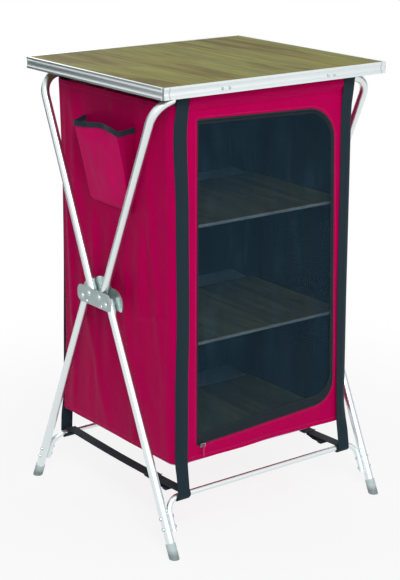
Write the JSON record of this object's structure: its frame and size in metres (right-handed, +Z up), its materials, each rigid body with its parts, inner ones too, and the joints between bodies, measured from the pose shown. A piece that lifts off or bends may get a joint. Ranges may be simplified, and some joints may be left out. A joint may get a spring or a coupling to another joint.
{
  "type": "camping kitchen cupboard",
  "caption": "Folding camp kitchen cupboard: fabric shelves with a net door hang in crossed tube legs joined by plate hubs, under a framed wood-look worktop.",
  "frame": {"origin": "bottom centre of the standing cupboard, on the floor between the feet", "axes": "+Z up, +X along the front to the right, -Y out of the net door"},
  "size_m": [0.6068, 0.5852, 1.01],
  "materials": {
    "frame_aluminium": "satin anodised tube",
    "rim_aluminium": "satin anodised profile",
    "hub_alloy": "tumbled plate",
    "rivet_steel": "plain",
    "worktop_laminate": "satin wood-look laminate",
    "shelf_laminate": "satin wood-look laminate",
    "foot_rubber": "matt",
    "moulded_plastic": "matt",
    "zip_metal": "satin",
    "webbing": "woven webbing",
    "net": "fine net",
    "sling_cloth": "plain woven cloth",
    "red_cloth": "coated woven cloth"
  },
  "bodies": {
    "hubs": {"left_hub_inner_plate": "hub_alloy", "left_hub_outer_plate": "hub_alloy", "left_hub_pivots": "rivet_steel", "left_hub_spacers": "rivet_steel", "right_hub_inner_plate": "hub_alloy", "right_hub_outer_plate": "hub_alloy", "right_hub_pivots": "rivet_steel", "right_hub_spacers": "rivet_steel", "left_side_panel": "red_cloth", "right_side_panel": "red_cloth", "back_panel": "red_cloth", "roof_panel": "red_cloth", "floor_panel": "sling_cloth", "front_border": "red_cloth", "side_pocket": "red_cloth", "pocket_binding": "webbing", "zip_tape": "webbing", "front_left_strap": "webbing", "front_right_strap": "webbing", "rear_left_strap": "webbing", "rear_right_strap": "webbing", "left_depth_strap": "webbing", "right_depth_strap": "webbing", "left_strap_tail": "webbing", "right_strap_tail": "webbing", "left_buckle": "moulded_plastic", "right_buckle": "moulded_plastic", "base_board": "shelf_laminate", "zip_slider": "zip_metal"},
    "front_legs": {"front_left_leg": "frame_aluminium", "front_left_foot": "foot_rubber", "front_right_leg": "frame_aluminium", "front_right_foot": "foot_rubber", "front_bottom_bar": "frame_aluminium", "front_bar_rivets": "rivet_steel"},
    "rear_legs": {"rear_left_leg": "frame_aluminium", "rear_left_foot": "foot_rubber", "rear_right_leg": "frame_aluminium", "rear_right_foot": "foot_rubber", "rear_bottom_bar": "frame_aluminium", "rear_bar_rivets": "rivet_steel"},
    "upper_front": {"upper_front_tube": "frame_aluminium"},
    "upper_rear": {"upper_rear_tube": "frame_aluminium"},
    "table_top": {"worktop_board": "worktop_laminate", "front_rail": "rim_aluminium", "rear_rail": "rim_aluminium", "left_rail": "rim_aluminium", "right_rail": "rim_aluminium", "left_stiffener": "frame_aluminium", "right_stiffener": "frame_aluminium", "cradles": "moulded_plastic", "rail_rivets": "rivet_steel"},
    "upper_shelf": {"upper_shelf_board": "shelf_laminate", "upper_shelf_sling": "sling_cloth"},
    "middle_shelf": {"middle_shelf_board": "shelf_laminate", "middle_shelf_sling": "sling_cloth"},
    "door": {"door_net": "net", "door_binding": "webbing"},
    "zip_pull": {"zip_pull": "zip_metal"}
  },
  "joints": [
    {"name": "front_leg_fold", "type": "hinge", "parent": "hubs", "child": "front_legs", "pos_m": [0, -0.0454, 0.511], "axis": [-1, 0, 0], "range_deg": [0, 150], "deforming": ["left_side_panel", "right_side_panel", "back_panel", "roof_panel", "floor_panel", "front_border", "side_pocket", "pocket_binding", "zip_tape", "door_net", "door_binding", "front_left_strap", "front_right_strap", "rear_left_strap", "rear_right_strap", "left_depth_strap", "right_depth_strap", "left_strap_tail", "right_strap_tail", "left_buckle", "right_buckle"]},
    {"name": "rear_leg_fold", "type": "hinge", "parent": "hubs", "child": "rear_legs", "pos_m": [0, 0.0454, 0.511], "axis": [1, 0, 0], "range_deg": [0, 150]},
    {"name": "upper_front_close", "type": "hinge", "parent": "hubs", "child": "upper_front", "pos_m": [0, -0.0199, 0.522], "axis": [-1, 0, 0], "range_deg": [0, 21.05]},
    {"name": "upper_rear_close", "type": "hinge", "parent": "hubs", "child": "upper_rear", "pos_m": [0, 0.0199, 0.522], "axis": [1, 0, 0], "range_deg": [0, 21.05]},
    {"name": "top_lift", "type": "slide", "parent": "hubs", "child": "table_top", "axis": [0, 0, 1], "range_m": [0, 0.301]},
    {"name": "upper_shelf_drop", "type": "slide", "parent": "hubs", "child": "upper_shelf", "axis": [0, 0, -1], "range_m": [0, 0.5]},
    {"name": "middle_shelf_drop", "type": "slide", "parent": "hubs", "child": "middle_shelf", "axis": [0, 0, -1], "range_m": [0, 0.2485]},
    {"name": "door_swing", "type": "hinge", "parent": "hubs", "child": "door", "pos_m": [-0.185, -0.2226, 0.575], "axis": [0, 0, -1], "range_deg": [0, 150]},
    {"name": "zip_pull_swing", "type": "hinge", "parent": "hubs", "child": "zip_pull", "pos_m": [-0.171, -0.2278, 0.2142], "axis": [-1, 0, 0], "range_deg": [0, 150]}
  ],
  "couplings": [
    {"joint": "rear_leg_fold", "follows": "front_leg_fold", "ratio": 1},
    {"joint": "upper_front_close", "follows": "front_leg_fold", "ratio": 0.14},
    {"joint": "upper_rear_close", "follows": "front_leg_fold", "ratio": 0.14},
    {"joint": "top_lift", "follows": "front_leg_fold", "m_per_rad": 0.11459},
    {"joint": "upper_shelf_drop", "follows": "front_leg_fold", "m_per_rad": 0.19072},
    {"joint": "middle_shelf_drop", "follows": "front_leg_fold", "m_per_rad": 0.09473}
  ]
}
